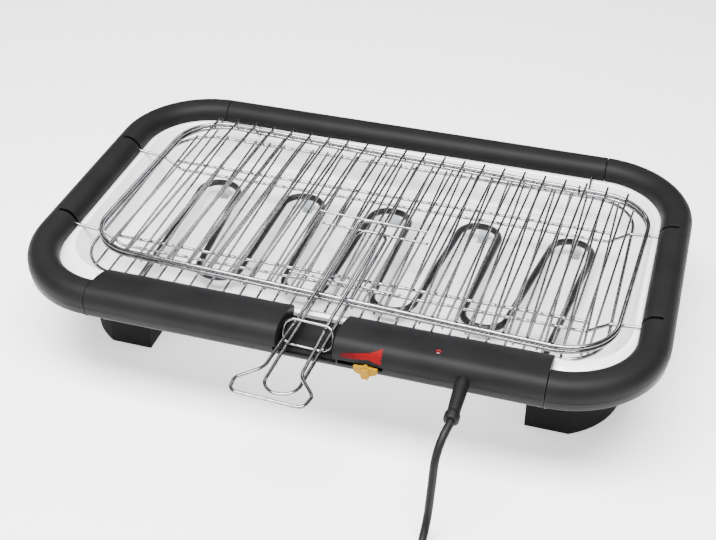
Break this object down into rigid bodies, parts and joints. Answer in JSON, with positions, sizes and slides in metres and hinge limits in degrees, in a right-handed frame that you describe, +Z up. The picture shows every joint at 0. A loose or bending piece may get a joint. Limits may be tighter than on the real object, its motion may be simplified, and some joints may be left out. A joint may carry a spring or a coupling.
{
  "type": "electric table grill",
  "caption": "Table-top electric grill: a plastic tube frame round a bright tray with a bent heating element, a lift-off wire grate and a hinged double wire basket.",
  "frame": {"origin": "on the floor under the middle of the grill, handle included and cord left out", "axes": "+X along the frame's length to the right seen from the handle side, +Y to the back, +Z up"},
  "size_m": [0.58, 0.62, 0.1155],
  "materials": {
    "frame_plastic": "charcoal moulded plastic, fine satin grain",
    "base_plastic": "grey moulded plastic, satin",
    "foot_plastic": "near-black moulded plastic",
    "rubber_pad": "soft black rubber",
    "screw_steel": "zinc-plated steel",
    "tray_metal": "bright reflector sheet",
    "clip_steel": "plain steel strip",
    "element_steel": "dark oxidised steel tube",
    "ceramic": "unglazed ceramic",
    "regulator_plastic": "brown phenolic",
    "yellow_plastic": "bright yellow moulded plastic",
    "red_lens": "red translucent lens",
    "lamp_glass": "clear glass neon lamp",
    "cutout_metal": "plain metal case",
    "lead_insulation": "heat-proof silicone sleeve",
    "clamp_plastic": "dark moulded plastic",
    "cord_rubber": "black rubber cord",
    "plug_plastic": "black moulded plug with metal pins",
    "chrome_wire": "bright chromed steel wire"
  },
  "bodies": {
    "grill": {"end_shell_left": "frame_plastic", "end_shell_right": "frame_plastic", "back_shell": "frame_plastic", "control_cover": "frame_plastic", "end_base_left": "base_plastic", "end_base_right": "base_plastic", "back_base": "base_plastic", "control_housing": "base_plastic", "drip_tray": "tray_metal", "foot_front_left": "foot_plastic", "foot_front_right": "foot_plastic", "foot_back_left": "foot_plastic", "foot_back_right": "foot_plastic", "foot_pads": "rubber_pad", "foot_screws": "screw_steel", "case_screws": "screw_steel", "heating_element": "element_steel", "element_bushes": "ceramic", "element_clips": "clip_steel", "thermostat_body": "regulator_plastic", "pilot_lamp_lens": "red_lens", "pilot_lamp_bulb": "lamp_glass", "thermal_cutout": "cutout_metal", "terminal_block": "ceramic", "wiring": "lead_insulation", "cord_clamp": "clamp_plastic", "strain_relief": "cord_rubber", "power_cord": "cord_rubber", "cord_coil": "cord_rubber", "power_plug": "plug_plastic"},
    "heat_slider": {"thermostat_slider": "yellow_plastic"},
    "wire_grate": {"grate_rim": "chrome_wire", "grate_rods": "chrome_wire", "grate_cross_wires": "chrome_wire", "grate_support_wires": "chrome_wire"},
    "basket_lower": {"lower_rim": "chrome_wire", "lower_rods": "chrome_wire", "lower_handle": "chrome_wire", "lower_handle_bars": "chrome_wire", "hinge_rings": "chrome_wire"},
    "basket_upper": {"upper_rim": "chrome_wire", "upper_rods": "chrome_wire", "upper_handle": "chrome_wire", "upper_handle_bar": "chrome_wire"},
    "lock_ring": {"lock_ring": "chrome_wire"}
  },
  "joints": [
    {"name": "heat_slide", "type": "slide", "parent": "grill", "child": "heat_slider", "axis": [1, 0, 0], "range_m": [-0.018, 0.002]},
    {"name": "grate_lift", "type": "slide", "parent": "grill", "child": "wire_grate", "axis": [0, 0, 1], "range_m": [0, 0.06]},
    {"name": "basket_lift", "type": "slide", "parent": "wire_grate", "child": "basket_lower", "axis": [0, 0, 1], "range_m": [0, 0.06]},
    {"name": "basket_hinge", "type": "hinge", "parent": "basket_lower", "child": "basket_upper", "pos_m": [0.01261, 0.16387, 0.1055], "axis": [-0.9989, 0.0471, 0], "range_deg": [0, 85]},
    {"name": "ring_slide", "type": "slide", "parent": "basket_upper", "child": "lock_ring", "axis": [-0.0471, -0.9989, 0], "range_m": [0, 0.048]}
  ]
}
